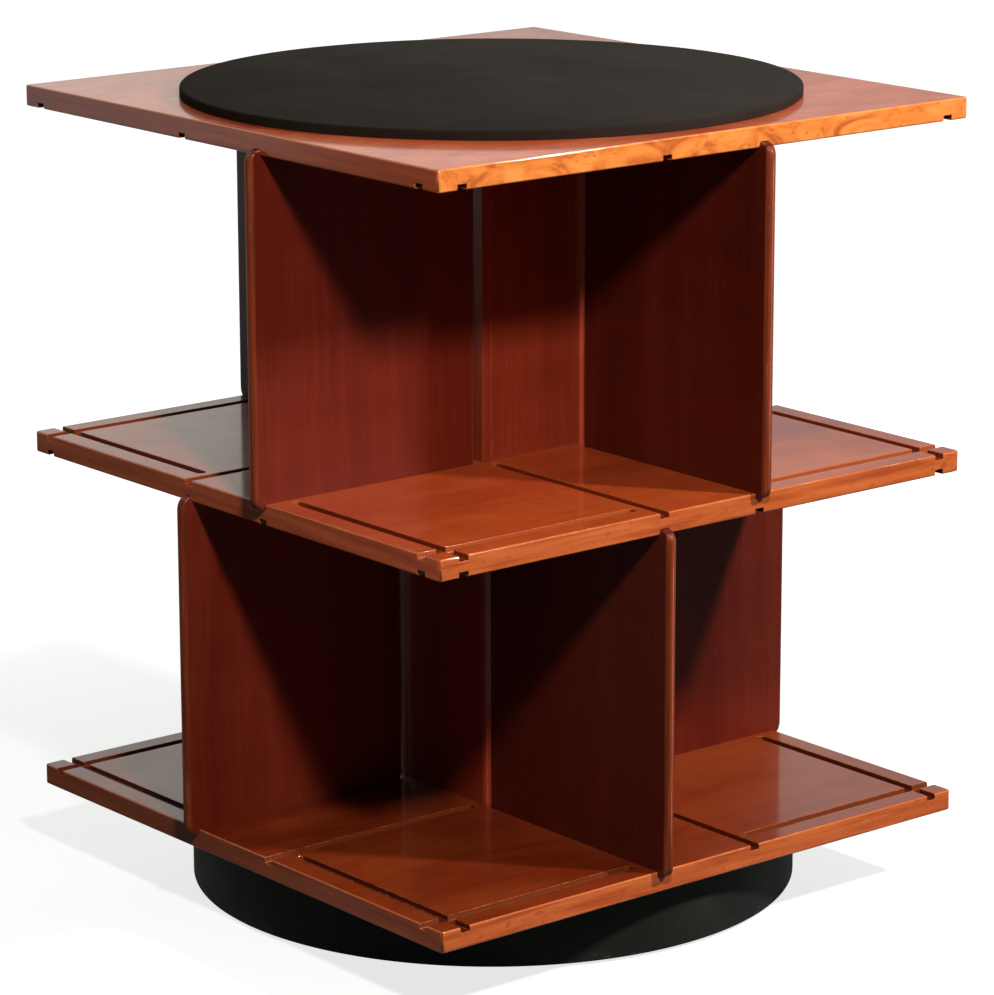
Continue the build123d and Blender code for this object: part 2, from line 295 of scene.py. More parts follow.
def object_place(tree, turn=(0.0, 0.0, 0.0), shift=(0.0, 0.0, 0.0)):
    """Object coordinates through a Mapping node that turns and shifts a pattern."""
    place = add_node(tree, "TexCoord").outputs["Object"]
    return add_node(tree, "Mapping", {"Vector": place, "Rotation": turn, "Location": shift}).outputs[0]


def bumped(height, distance):
    """Normal that a height gives, raised by distance in metres."""
    return add_node(height.id_data, "Bump", {"Height": height, "Distance": distance}).outputs[0]


def finish_material(tree, sockets):
    """The Principled shader with its sockets, and the output."""
    shader = add_node(tree, "BsdfPrincipled", sockets)
    add_node(tree, "OutputMaterial", {"Surface": shader.outputs[0]})


def new_group(name, vectors, numbers, outputs):
    """Node group with its input vectors, input numbers and output numbers, and what it is given."""
    group = bpy.data.node_groups.new(name, "ShaderNodeTree")
    sockets = [("INPUT", "Vector", socket) for socket in vectors]
    sockets += [("INPUT", "Float", socket) for socket in numbers]
    sockets += [("OUTPUT", "Float", socket) for socket in outputs]
    for side, kind, socket in sockets:
        group.interface.new_socket(socket, in_out=side, socket_type=f"NodeSocket{kind}")
    return group, group.nodes.new("NodeGroupInput").outputs


def add_group(group, place, **values):
    """One use of a node group on a place, with its other inputs by name, and what it puts out."""
    made = add_node(place.id_data, "Group", node_tree=group)
    place.id_data.links.new(place, made.inputs["Vector"])
    for name, value in values.items():
        made.inputs[name.replace("_", " ")].default_value = value
    return made.outputs


def signed_volume(points, faces):
    """Volume inside the faces, from the tetrahedra to the origin: below zero where they face inwards."""
    fans = [(faces[:, 0], faces[:, k], faces[:, k + 1]) for k in range(1, faces.shape[1] - 1)]
    return sum(np.sum(points[a] * np.cross(points[b], points[c])) for a, b, c in fans) / 6.0


def surface(grid, poles=None):
    """Points and faces of a grid of points that joins round along its rows and its columns.

    Where there are poles, they close its first and last row with a point each instead.
    """
    rows, columns = grid.shape[:2]
    points = grid.reshape(-1, 3)
    row, column = np.arange(rows - 1 if poles else rows)[:, None], np.arange(columns)[None, :]
    next_row, next_column = (row + 1) % rows, (column + 1) % columns
    corners = [row * columns + column, row * columns + next_column,
               next_row * columns + next_column, next_row * columns + column]
    quads = np.stack([np.broadcast_to(c, (row.size, columns)) for c in corners], -1).reshape(-1, 4)
    triangles = np.zeros((0, 3), int)
    if poles:
        points = np.vstack([points, poles])
        ring = np.arange(columns)
        following = np.roll(ring, -1)
        last = (rows - 1) * columns
        first_cap = np.stack([following, ring, np.full(columns, rows * columns)], 1)
        last_cap = np.stack([last + ring, last + following, np.full(columns, rows * columns + 1)], 1)
        triangles = np.vstack([first_cap, last_cap])
    if signed_volume(points, quads) + signed_volume(points, triangles) < 0.0:
        quads, triangles = quads[:, ::-1], triangles[:, ::-1]
    return points, quads.tolist() + triangles.tolist()


def add_piece(name, shape, body, material, stands_for):
    """Smooth mesh object from points and faces, riding on a body in place of the nodes it stands for."""
    points, faces = shape
    mesh = bpy.data.meshes.new(name)
    mesh.from_pydata(points.tolist(), [], faces)
    mesh.polygons.foreach_set("use_smooth", np.ones(len(faces), bool))
    mesh.materials.append(material)
    mesh.update()
    piece = bpy.data.objects.new(name, mesh)
    bpy.context.scene.collection.objects.link(piece)
    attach(piece, body)
    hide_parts(*stands_for)
    return piece


def eased_path(corners, eases):
    """Path through corners, each rounded by its own radius, with a point close to each end of the arc.

    An arc touches both lines at its radius times the tangent of half the turn. Its points come from the
    circle's centre, on the bisector, swept evenly between the two touching points.
    """
    corners = np.asarray(corners, float)
    path = []
    for index, (corner, ease) in enumerate(zip(corners, eases)):
        if ease == 0.0:
            path.append(corner)
            continue
        before = corners[index - 1] - corner
        after = corners[(index + 1) % len(corners)] - corner
        before, after = before / np.linalg.norm(before), after / np.linalg.norm(after)
        opening = math.acos(float(np.clip(before @ after, -1.0, 1.0)))
        reach = ease / math.tan(opening / 2.0)
        bisector = (before + after) / np.linalg.norm(before + after)
        centre = corner + bisector * ease / math.sin(opening / 2.0)
        start, end = corner + before * reach - centre, corner + after * reach - centre
        turn = math.acos(float(np.clip(start @ end / ease**2, -1.0, 1.0)))
        share = np.linspace(0.0, 1.0, ARC_STEPS + 1)[:, None]
        arc = (np.sin((1.0 - share) * turn) * start + np.sin(share * turn) * end) / math.sin(turn)
        support = reach + ARC_SUPPORT
        path += [corner + before * support, *(centre + arc), corner + after * support]
    return np.array(path)


def around(radius, height, turn, centre=(0.0, 0.0)):
    """Points x = r cos t, y = r sin t, z = height, about an upright axis."""
    return np.stack([centre[0] + radius * np.cos(turn), centre[1] + radius * np.sin(turn),
                     height + 0.0 * turn], axis=-1)


def revolved(profile, centre=(0.0, 0.0), steps=ROUND_STEPS, closed=True):
    """Profile of (radius, height) turned about an upright axis; an open one starts and ends on it."""
    turn = np.linspace(0.0, 2.0 * np.pi, steps, endpoint=False)
    grid = around(profile[:, :1], profile[:, 1:], turn, centre)
    if closed:
        return surface(grid)
    return surface(grid[1:-1], poles=[(*centre, profile[0, 1]), (*centre, profile[-1, 1])])


def make_scuff_group():
    """Group: Smear is a soft cloudy mask for wiped lacquer, Scratch thin crossing lines, Dust fine specks."""
    group, given = new_group("lacquer_scuffs", ["Vector"], [], ["Smear", "Scratch", "Dust"])
    place = given["Vector"]
    cloud = noise(place, 7.0, detail=5.0, rough=0.62, distortion=0.6)
    lines = [spread(noise(place, stretch, detail=1.0), 0.70, 0.78)
             for stretch in ((14.0, 900.0, 900.0), (700.0, 40.0, 260.0), (380.0, 460.0, 16.0))]
    crossing = maths("MAXIMUM", maths("MAXIMUM", lines[0], lines[1]), lines[2])
    patch = spread(noise(place, 16.0, detail=2.0), 0.5, 0.66)
    speck = spread(noise(place, 900.0, detail=1.0), 0.66, 0.74)
    dust = product(speck, spread(cloud, 0.5, 0.75))
    add_node(group, "NodeGroupOutput", {"Smear": spread(cloud, 0.42, 0.68), "Dust": dust,
                                        "Scratch": product(crossing, patch)})
    return group


scuff_group = make_scuff_group()


def black_lacquer():
    """Satin black paint: a soft cloudy gloss, faint hoop-wise ripple, grey rubs along the lower rim."""
    material, tree = new_material("plinth_satin_black")
    place = object_place(tree)
    scuffs = add_group(scuff_group, place)
    low_rim = spread(axes_of(place)[2], *HOOP_RUB)
    chips = spread(noise(place, (60.0, 60.0, 90.0), detail=5.0, rough=0.65), 0.52, 0.66)
    worn = maths("MAXIMUM", product(low_rim, chips), product(scuffs["Scratch"], 0.35))
    paint = ramp(scuffs["Smear"], [(0.0, shade(*SATIN_DARK)), (1.0, shade(*SATIN_LIGHT))])
    colour = mix(worn, paint, shade(*SATIN_WORN))
    dusted = mix(product(scuffs["Dust"], 0.5), colour, shade(*SATIN_DUST))
    rough = spread(scuffs["Smear"], 0.0, 1.0, 0.38, 0.52, smooth=False)
    ripple = noise(place, (260.0, 260.0, 90.0), detail=3.0)
    long_wave = noise(place, (9.0, 9.0, 5.0), detail=1.0)
    relief = weighted((ripple, 0.12), (long_wave, 1.0))
    finish_material(tree, {"Base Color": dusted, "Roughness": rough, "Specular IOR Level": 0.22,
                           "Normal": bumped(relief, HOOP_RIPPLE)})
    return material


hoop_low, hoop_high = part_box("plinth_hoop")
hoop_radius = hoop_high.x
hoop_corners = [(hoop_radius, hoop_low.z), (hoop_radius, hoop_high.z),
                (hoop_radius - HOOP_WALL, hoop_high.z), (hoop_radius - HOOP_WALL, hoop_low.z)]
hoop_eases = [HOOP_OUTER_EASE, HOOP_OUTER_EASE, HOOP_INNER_EASE, HOOP_INNER_EASE]
hoop_shape = revolved(eased_path(hoop_corners, hoop_eases))
satin_black = black_lacquer()
add_piece("bent_hoop", hoop_shape, "plinth", satin_black, ["plinth_hoop"])

# Plinth board and glue blocks
# A round of raw particle board let into the hoop, left bare underneath, with a hole for the nut below.
# Six beech blocks are glued under it, against the hoop, and carry the glides.
BLOCK_ARRIS = 0.8 * MILLIMETRE
GRAIN_BEND = 35.0 * MILLIMETRE
BEECH_RELIEF = 0.1 * MILLIMETRE
CHIP_RELIEF = 0.18 * MILLIMETRE
CHIP_DRIFT = (3.0 * MILLIMETRE, 3.0 * MILLIMETRE, 1.0 * MILLIMETRE)
CHIPS_PER_METRE = (300.0, 420.0, 900.0)
CHIP_DARK, CHIP_MID, CHIP_LIGHT = (104, 78, 48), (150, 122, 88), (188, 162, 122)
BEECH_DARK, BEECH_LIGHT, BEECH_FLECK = (178, 128, 88), (208, 162, 118), (128, 78, 46)
WELD_REACH = 0.002 * MILLIMETRE
SHARP_ANGLE = math.radians(30.0)


def make_wood_group():
    """Group: wood whose grain runs along X of the given place.

    Tone is slow bands across the grain, bent by a slower noise, with fibres and a cross ripple laid over.
    Fibre is the fine streaks alone, and Pore the short thin dashes of open vessels.
    """
    group, given = new_group("wood_figure", ["Vector"], [], ["Tone", "Fibre", "Pore"])
    place = given["Vector"]
    wander = noise(place, (2.4, 5.0, 5.0), detail=2.0, name="Color")
    centred = vector_maths("SUBTRACT", wander, (0.5, 0.5, 0.5))
    bend = vector_maths("MULTIPLY", centred, (0.0, GRAIN_BEND, GRAIN_BEND))
    bent = vector_maths("ADD", place, bend)
    leaves = noise(bent, (0.7, 10.0, 10.0), detail=2.0)
    bands = noise(bent, (1.5, 38.0, 38.0), detail=4.0, rough=0.6)
    fibres = noise(bent, (8.0, 380.0, 380.0), detail=3.0, rough=0.6)
    hairs = noise(bent, (26.0, 1500.0, 1500.0), detail=2.0)
    ripple = noise(place, (34.0, 9.0, 9.0), detail=2.0)
    vessels = noise(bent, (90.0, 2400.0, 2400.0), detail=1.0)
    tone = weighted((leaves, 0.44), (bands, 0.26), (fibres, 0.18), (ripple, 0.12))
    add_node(group, "NodeGroupOutput", {"Tone": tone, "Fibre": weighted((hairs, 0.5), (fibres, 0.5)),
                                        "Pore": spread(vessels, 0.63, 0.70)})
    return group


wood_group = make_wood_group()


def cell_tones(place, per_metre):
    """A tone of its own for each small cell, of which there are so many per metre on each axis."""
    tree = place.id_data
    cells = add_node(tree, "TexVoronoi", {"Vector": vector_maths("MULTIPLY", place, per_metre)})
    return add_node(tree, "SeparateColor", {0: cells.outputs["Color"]}).outputs[0]


def particle_board():
    """Raw particle board: flat tan chips of many tones, pressed together, with finer dust between them."""
    material, tree = new_material("raw_particle_board")
    place = object_place(tree)
    wander = noise(place, 180.0, detail=2.0, name="Color")
    moved = vector_maths("ADD", place, vector_maths("MULTIPLY", wander, CHIP_DRIFT))
    chips = cell_tones(moved, CHIPS_PER_METRE)
    dust = noise(place, 1400.0, detail=3.0)
    mixed = weighted((dust, 0.45), (chips, 0.55))
    stops = [(0.15, shade(*CHIP_DARK)), (0.45, shade(*CHIP_MID)), (0.80, shade(*CHIP_LIGHT))]
    finish_material(tree, {"Base Color": ramp(mixed, stops), "Specular IOR Level": 0.25,
                           "Roughness": spread(mixed, 0.2, 0.8, 0.65, 0.85),
                           "Normal": bumped(mixed, CHIP_RELIEF)})
    return material


def beech(name, turn):
    """Bare beech: pink-tan, with short brown flecks along the grain."""
    material, tree = new_material(name)
    place = object_place(tree, turn=turn)
    wood = add_group(wood_group, place)
    flecks = spread(noise(place, (160.0, 900.0, 900.0), detail=1.0), 0.60, 0.70)
    face = ramp(wood["Tone"], [(0.3, shade(*BEECH_DARK)), (0.7, shade(*BEECH_LIGHT))])
    flecked = mix(product(flecks, 0.6), face, shade(*BEECH_FLECK))
    finish_material(tree, {"Base Color": flecked, "Specular IOR Level": 0.3,
                           "Roughness": spread(wood["Fibre"], 0.3, 0.7, 0.5, 0.7),
                           "Normal": bumped(wood["Fibre"], BEECH_RELIEF)})
    return material


def dress_node(name, material, arris=0.0):
    """Give a CAD node its material, weld its loose triangles for shading and ease its sharp edges."""
    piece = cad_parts[name]
    piece.data.materials.clear()
    piece.data.materials.append(material)
    weld = piece.modifiers.new("weld", "WELD")
    weld.merge_threshold = WELD_REACH
    if arris:
        bevel = piece.modifiers.new("ease", "BEVEL")
        bevel.width = arris
        bevel.segments = 2
        bevel.limit_method = "ANGLE"
        bevel.angle_limit = SHARP_ANGLE
        bevel.harden_normals = True
        bevel.use_clamp_overlap = True


dress_node("plinth_board", particle_board())
beech_level = beech("beech_blocks", (0.0, 0.0, 0.0))
dress_node("plinth_blocks", beech_level, BLOCK_ARRIS)

# Glides
# Six hard black plastic glides pinned under the blocks, so that the plinth slides over a floor and
# doesn't mark it. Each is a turned disc with a soft lower edge and a dished middle for its pin.
GLIDE_COUNT = 6
GLIDE_RADIUS = 13.0 * MILLIMETRE
GLIDE_STEPS = 64
GLIDE_DARK, GLIDE_LIGHT, GLIDE_ROUGHNESS = (56, 56, 55), (68, 67, 65), 0.42
MOULD_GRAIN = 0.03 * MILLIMETRE
GLIDE_EASE = 1.2 * MILLIMETRE
GLIDE_DISH = 1.2 * MILLIMETRE
GLIDE_DISH_RADIUS = 4.0 * MILLIMETRE


def moulded(name, dark, light, roughness):
    """Moulded plastic: one colour with faint flow clouds and a fine spark-eroded grain."""
    material, tree = new_material(name)
    place = object_place(tree)
    flow = noise(place, 40.0, detail=3.0)
    grain = noise(place, 2200.0, detail=2.0)
    finish_material(tree, {"Base Color": ramp(flow, [(0.3, shade(*dark)), (0.7, shade(*light))]),
                           "Roughness": spread(flow, 0.3, 0.7, roughness, roughness + 0.1),
                           "Normal": bumped(grain, MOULD_GRAIN)})
    return material


def joined(surfaces):
    """Several surfaces as one list of points and one of faces."""
    points, faces, count = [], [], 0
    for some_points, some_faces in surfaces:
        points.append(some_points)
        faces.extend([[index + count for index in face] for face in some_faces])
        count += len(some_points)
    return np.vstack(points), faces


def round_circle(profile, radius, count, steps):
    """Copies of an open turned profile, evenly round a circle about the swivel axis."""
    turns = np.arange(count) * 2.0 * np.pi / count
    places = radius * np.stack([np.cos(turns), np.sin(turns)], axis=1)
    return joined([revolved(profile, place, steps, closed=False) for place in places])


glide_low, glide_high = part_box("plinth_glides")
glide_profile = eased_path(
    [(0.0, glide_low.z + GLIDE_DISH), (GLIDE_DISH_RADIUS, glide_low.z + GLIDE_DISH),
     (GLIDE_DISH_RADIUS + GLIDE_DISH, glide_low.z), (GLIDE_RADIUS, glide_low.z),
     (GLIDE_RADIUS, glide_high.z), (GLIDE_DISH_RADIUS, glide_high.z), (0.0, glide_high.z)],
    [0.0, 0.0, GLIDE_EASE / 2, GLIDE_EASE, GLIDE_EASE / 4, 0.0, 0.0])
glide_shapes = round_circle(glide_profile, glide_high.x - GLIDE_RADIUS, GLIDE_COUNT, GLIDE_STEPS)
glide_black = moulded("glide_black", GLIDE_DARK, GLIDE_LIGHT, GLIDE_ROUGHNESS)
add_piece("black_glides", glide_shapes, "plinth", glide_black, ["plinth_glides"])

# Swivel bearing
# Two flat pressed rings with a ball track each, zinc plated. The lower one is screwed to the plinth
# board and the upper one to the bottom shelf. Steel balls roll between them in a flat cage.
BALL_COUNT = 8
BALL_STEPS = 24
RING_ARRIS = 0.25 * MILLIMETRE
ZINC_CRYSTALS_PER_METRE = (260.0, 260.0, 260.0)
STEEL_RELIEF = 0.02 * MILLIMETRE
ZINC_DARK, ZINC_LIGHT, ZINC_ROUGHNESS = (150, 152, 150), (196, 197, 192), 0.28
BALL_DARK, BALL_LIGHT, BALL_ROUGHNESS = (196, 198, 202), (222, 223, 226), 0.08
NYLON_DARK, NYLON_LIGHT, NYLON_ROUGHNESS = (226, 222, 208), (240, 237, 226), 0.4


def steel(name, dark, light, roughness, plated):
    """Steel: plated work has a spangle of zinc crystals, ground work a faint brushed ripple."""
    material, tree = new_material(name)
    place = object_place(tree)
    if plated:
        tone = cell_tones(place, ZINC_CRYSTALS_PER_METRE)
    else:
        tone = noise(place, (90.0, 90.0, 900.0), detail=3.0)
    smudge = noise(place, 60.0, detail=4.0)
    finish_material(tree, {"Base Color": ramp(tone, [(0.1, shade(*dark)), (0.9, shade(*light))]),
                           "Roughness": spread(smudge, 0.3, 0.7, roughness, roughness + 0.15),
                           "Metallic": 1.0, "Normal": bumped(tone, STEEL_RELIEF)})
    return material


zinc = steel("zinc_plate", ZINC_DARK, ZINC_LIGHT, ZINC_ROUGHNESS, plated=True)
ground_steel = steel("ground_ball_steel", BALL_DARK, BALL_LIGHT, BALL_ROUGHNESS, plated=False)
for ring_node in ("bearing_lower_ring", "bearing_upper_ring"):
    dress_node(ring_node, zinc, RING_ARRIS)
dress_node("ball_cage", moulded("cage_nylon", NYLON_DARK, NYLON_LIGHT, NYLON_ROUGHNESS), RING_ARRIS)

ball_low, ball_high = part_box("bearing_balls")
ball_radius = (ball_high.z - ball_low.z) / 2.0
ball_height = (ball_high.z + ball_low.z) / 2.0
ball_arc = np.linspace(-np.pi / 2, np.pi / 2, BALL_STEPS + 1)
ball_profile = np.column_stack([ball_radius * np.cos(ball_arc), ball_height + ball_radius * np.sin(ball_arc)])
ball_shapes = round_circle(ball_profile, ball_high.x - ball_radius, BALL_COUNT, 2 * BALL_STEPS)
add_piece("steel_balls", ball_shapes, "ball_set", ground_steel, ["bearing_balls"])
for screw_node in ("bearing_lower_screws", "bearing_upper_screws"):
    dress_node(screw_node, zinc)

# Shelves
# Three square boards, veneered with the grain from left to right. The front and back edges are lipped
# with figured solid wood; the other two show end grain. The stopped grooves are routed afterwards.
SHELF_EDGE_DEPTH = 1.2 * MILLIMETRE
SHELF_WEAR_WIDTH = 1.6 * MILLIMETRE
SHELF_ROUNDING = 1.3 * MILLIMETRE
SHELF_GLOSS, SHELF_HAZE, SHELF_BARE_SHARE = 1.0, 0.10, 0.7
GROOVE_RISE = 0.8 * MILLIMETRE
GROOVE_INSET = 0.45 * MILLIMETRE
GRAIN_RELIEF = 0.05 * MILLIMETRE
BARE_WOOD = (0.62, 0.30, 0.15, 1.0)
VENEER_STOPS = (0.40, 0.50, 0.61)
SHELF_SHADES = ((0.35, 0.040, 0.0080), (0.465, 0.066, 0.0130), (0.56, 0.098, 0.021))
# Colour of the deeper patches on the shelves: a painted shade.
PAINTED_SHADE_PATCH = (0.24, 0.0185, 0.0045)
LIP_STOPS = (0.36, 0.48, 0.66)
BURR_SHADES = ((0.46, 0.096, 0.019), (0.68, 0.188, 0.034), (0.82, 0.270, 0.058))
LIP_SHADES = ((0.46, 0.080, 0.018), (0.60, 0.118, 0.026), (0.74, 0.175, 0.042))
END_SHADES = ((0.36, 0.062, 0.020), (0.54, 0.105, 0.034))
# Groove colours: walls facing along Y painted orange, a painted light; other walls and floors painted dark, a
# painted shade; grooves underneath darker still.
GROOVE_PAINTED_SHADE, GROOVE_PAINTED_LIGHT, GROOVE_UNDER_PAINTED_SHADE = (0.20, 0.026, 0.0065), (0.40, 0.085, 0.023), (0.045, 0.008, 0.003)


def make_arris_group():
    """Group: Line and Wear along the edges of a box, from the second smallest distance to its pairs of faces.

    With distances a, b, c from the three pairs, the second smallest is
    max(min(a, b), min(max(a, b), c)). It is near zero only along an edge. Noise breaks the mask up.
    """
    group, given = new_group("arris_line_and_wear", ["Vector", "Centre", "Half Size"], ["Width"], ["Line", "Wear"])
    centred = vector_maths("SUBTRACT", given["Vector"], given["Centre"])
    sized = vector_maths("ABSOLUTE", centred)
    depth = axes_of(vector_maths("SUBTRACT", given["Half Size"], sized))
    nearer = maths("MINIMUM", depth[0], depth[1])
    farther = maths("MAXIMUM", depth[0], depth[1])
    second = maths("MAXIMUM", nearer, maths("MINIMUM", farther, depth[2]))
    line = spread(maths("DIVIDE", second, given["Width"]), 1.0, 0.2)
    broken = spread(noise(given["Vector"], 70.0, detail=6.0, rough=0.7), 0.47, 0.62)
    rare = spread(noise(given["Vector"], 9.0, detail=2.0), 0.42, 0.62)
    add_node(group, "NodeGroupOutput", {"Line": line, "Wear": product(line, broken, rare)})
    return group


arris_group = make_arris_group()


def toned(colour, tone):
    """Colour of a darker or lighter piece of the same wood."""
    return (*[channel * tone for channel in colour], 1.0)


def veneer_face(figure, shades, tone):
    """Veneer that goes from dark through mid to light with its figure, and those three colours."""
    colours = [toned(colour, tone) for colour in shades]
    return ramp(figure, list(zip(VENEER_STOPS, colours))), colours


def edge_wear(place, low, high, width, colour, light, bare_share):
    """Colour with edges paler, partly rubbed, partly a painted highlight, and bare in spots; and the spots'
    mask.
    """
    edges = add_group(arris_group, place, Centre=(low + high) / 2, Half_Size=(high - low) / 2, Width=width)
    # The pale line along every edge is partly rubbed lacquer and partly a painted highlight.
    rubbed_and_highlighted = mix(product(edges["Line"], 0.45), colour, light)
    return mix(product(edges["Wear"], bare_share), rubbed_and_highlighted, BARE_WOOD), edges["Wear"]


def lacquered(tree, colour, wood, scuffs, bare, gloss, haze, rounded):
    """Wood under lacquer: a coat of some gloss and haze, gone where the wood is worn bare.

    The coat is smooth over the grain, and both follow the rounded normal at the arrises.
    """
    relief = weighted((wood["Fibre"], 0.5), (wood["Pore"], -1.0))
    grained = add_node(tree, "Bump", {"Height": relief, "Distance": GRAIN_RELIEF, "Normal": rounded})
    kept = maths("SUBTRACT", 1.0, weighted((bare, 0.85), (scuffs["Scratch"], 0.35)))
    finish_material(tree, {"Base Color": colour, "Specular IOR Level": 0.12,
                           "Roughness": spread(scuffs["Smear"], 0.0, 1.0, 0.38, 0.50, smooth=False),
                           "Coat Weight": product(kept, gloss), "Coat Roughness": haze, "Coat IOR": 1.5,
                           "Normal": grained.outputs[0], "Coat Normal": rounded})


def shelf_veneer(node, shift, tone, painted_sheen_pallor, painted_shade_lean, lip_tone, end_tone, streaked):
    """Lacquered shelf: veneer on the faces, figured lipping on two edges, redder wood on the others.

    The lipping of the top shelf is clouded and freckled; on the others its grain runs along the edge.
    Deeper patches are a painted shade, leaned towards the parts of the shelf that lie in shade. In the
    grooves on top, the walls that face along Y are painted orange, a painted light, and the rest dark, a
    painted shade; the grooves underneath are painted darker still, a painted shade under the shelf.
    """
    material, tree = new_material(f"{node}_veneer")
    low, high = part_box(node)
    middle, half = (low + high) / 2, (high - low) / 2
    place = object_place(tree)
    grain_place = object_place(tree, shift=shift)
    wood, scuffs = add_group(wood_group, grain_place), add_group(scuff_group, grain_place)
    axes = axes_of(place)

    mottle = noise(grain_place, (14.0, 24.0, 24.0), detail=5.0, rough=0.65, distortion=0.8)
    share = 0.2 if streaked else 0.5
    figure = weighted((mottle, share), (wood["Tone"], 1.0 - share))
    # Pallor adds green and blue for the top shelf's paler look: partly its own leaf, partly a painted sheen.
    shades = [(red, green * (1.0 + painted_sheen_pallor), blue * (1.0 + 4.0 * painted_sheen_pallor)) for red, green, blue in SHELF_SHADES]
    face, (dark, _, _) = veneer_face(figure, shades, tone)
    # Deeper patches: noise, leaned towards the parts of the shelf that lie in shade, a painted shade.
    patches = noise(grain_place, (4.0, 9.0, 9.0), detail=4.0, rough=0.6, distortion=0.5)
    painted_shade_field = weighted((patches, 1.2), (axes[0], painted_shade_lean[0]), (axes[1], painted_shade_lean[1]))
    painted_shade_share = spread(painted_shade_field, 0.55, 0.95, 0.0, 0.85)
    shade_painted_face = mix(painted_shade_share, face, toned(PAINTED_SHADE_PATCH, tone))
    pored = mix(product(wood["Pore"], 0.25), shade_painted_face, dark)

    stretch, swirl = ((9.0, 150.0, 150.0), 0.3) if streaked else ((20.0, 34.0, 34.0), 1.5)
    cloud = noise(grain_place, stretch, detail=4.0, rough=0.55, distortion=swirl)
    lip_shades = [toned(colour, lip_tone) for colour in (LIP_SHADES if streaked else BURR_SHADES)]
    lipping = ramp(cloud, list(zip(LIP_STOPS, lip_shades)))
    freckles = noise(grain_place, (48.0, 90.0, 90.0), detail=4.0, distortion=2.0)
    freckled = product(spread(freckles, 0.58, 0.72), 0.75)
    figured = mix(freckled, lipping, lip_shades[0])
    streaks = noise(grain_place, (120.0, 7.0, 120.0), detail=4.0, rough=0.55)
    end_dark, end_light = (toned(colour, end_tone) for colour in END_SHADES)
    end_wood = ramp(streaks, [(0.35, end_dark), (0.65, end_light)])
    sized_x, sized_y = maths("ABSOLUTE", axes[0]), maths("ABSOLUTE", axes[1])
    edge = (high.x - SHELF_EDGE_DEPTH, high.x - SHELF_EDGE_DEPTH / 2)
    lipped = mix(spread(sized_y, *edge), pored, figured)
    edged = mix(spread(sized_x, *edge), lipped, end_wood)

    # Groove colours by facing and height: painted light on the walls along Y, painted shade on the rest and
    # under the shelf.
    groove_shade_paint, groove_light_paint, under = (toned(colour, tone) for colour in (GROOVE_PAINTED_SHADE, GROOVE_PAINTED_LIGHT, GROOVE_UNDER_PAINTED_SHADE))
    facing = axes_of(add_node(tree, "TexCoord").outputs["Normal"])[1]
    lit_wall = maths("GREATER_THAN", maths("ABSOLUTE", facing), 0.7)
    upper_half = maths("GREATER_THAN", axes[2], middle.z)
    groove_light_and_shade_paint = mix(upper_half, under, mix(lit_wall, groove_shade_paint, groove_light_paint))
    off_middle = maths("ABSOLUTE", maths("SUBTRACT", axes[2], middle.z))
    sunk = maths("LESS_THAN", off_middle, half.z - GROOVE_RISE)
    inside = maths("LESS_THAN", maths("MAXIMUM", sized_x, sized_y), high.x - GROOVE_INSET)
    routed = mix(product(inside, sunk), edged, groove_light_and_shade_paint)

    rubbed_and_highlighted, bare = edge_wear(place, low, high, SHELF_WEAR_WIDTH, routed, lip_shades[2], SHELF_BARE_SHARE)
    rounded = add_node(tree, "Bevel", {"Radius": SHELF_ROUNDING}, samples=6).outputs[0]
    faced = add_node(tree, "NewGeometry").outputs["Normal"]
    # Along the arrises, where the rounded normal turns from the face's, the colour is painted pale in broken
    # spots: a painted highlight.
    arris = spread(vector_maths("DOT_PRODUCT", rounded, faced), 0.985, 0.86)
    broken = spread(noise(grain_place, 150.0, detail=4.0, rough=0.7), 0.42, 0.60, 0.05, 0.85)
    worn = mix(product(arris, broken), rubbed_and_highlighted, lip_shades[2])
    lacquered(tree, worn, wood, scuffs, bare, SHELF_GLOSS, SHELF_HAZE, rounded)
    return material


# Top shelf painted lighter and paler, bottom darker: partly their own boards, partly painted light and shade.
SHELF_LOOKS = {
    "bottom_shelf": {"shift": (1.7, 0.4, 0.9), "tone": 0.58, "painted_sheen_pallor": 0.0, "painted_shade_lean": (-0.7, 0.4),
                     "lip_tone": 1.05, "end_tone": 1.0, "streaked": True},
    "middle_shelf": {"shift": (4.3, 2.2, 0.1), "tone": 0.98, "painted_sheen_pallor": 0.0, "painted_shade_lean": (0.8, 0.7),
                     "lip_tone": 0.88, "end_tone": 1.35, "streaked": True},
    "top_shelf": {"shift": (8.1, 5.6, 3.7), "tone": 1.55, "painted_sheen_pallor": 0.22, "painted_shade_lean": (0.3, 0.3),
                  "lip_tone": 1.00, "end_tone": 1.0, "streaked": False},
}
for shelf_node, shelf_look in SHELF_LOOKS.items():
    dress_node(shelf_node, shelf_veneer(shelf_node, **shelf_look))

# Columns
# Four boards round a square hollow in each tier, every right end covering the next. The boards are
# butted and glued, veneered with upright grain, and their outer corners are eased by hand.
COLUMN_CORNER = 0.8 * MILLIMETRE
COLUMN_EASE = 0.4 * MILLIMETRE
COLUMN_TONE, COLUMN_WARMTH, COLUMN_BARE_SHARE = 0.288, 0.15, 0.12
COLUMN_GLOSS, COLUMN_HAZE = 0.9, 0.14
BOARD_SUPPORT = 0.3 * MILLIMETRE
BOARD_EDGE_STEPS = 9
BOARD_WEAR_WIDTH = 2.5 * MILLIMETRE
BOARD_ROUNDING = 0.4 * MILLIMETRE
BOARD_SHADES = ((0.74, 0.064, 0.024), (1.0, 0.100, 0.040), (1.26, 0.152, 0.066))
END_WOOD = (0.21, 0.037, 0.0130)
SIDE_ANGLES = {"front": 0.0, "right": math.pi / 2, "back": math.pi, "left": -math.pi / 2}
TIERS = ("lower", "upper")


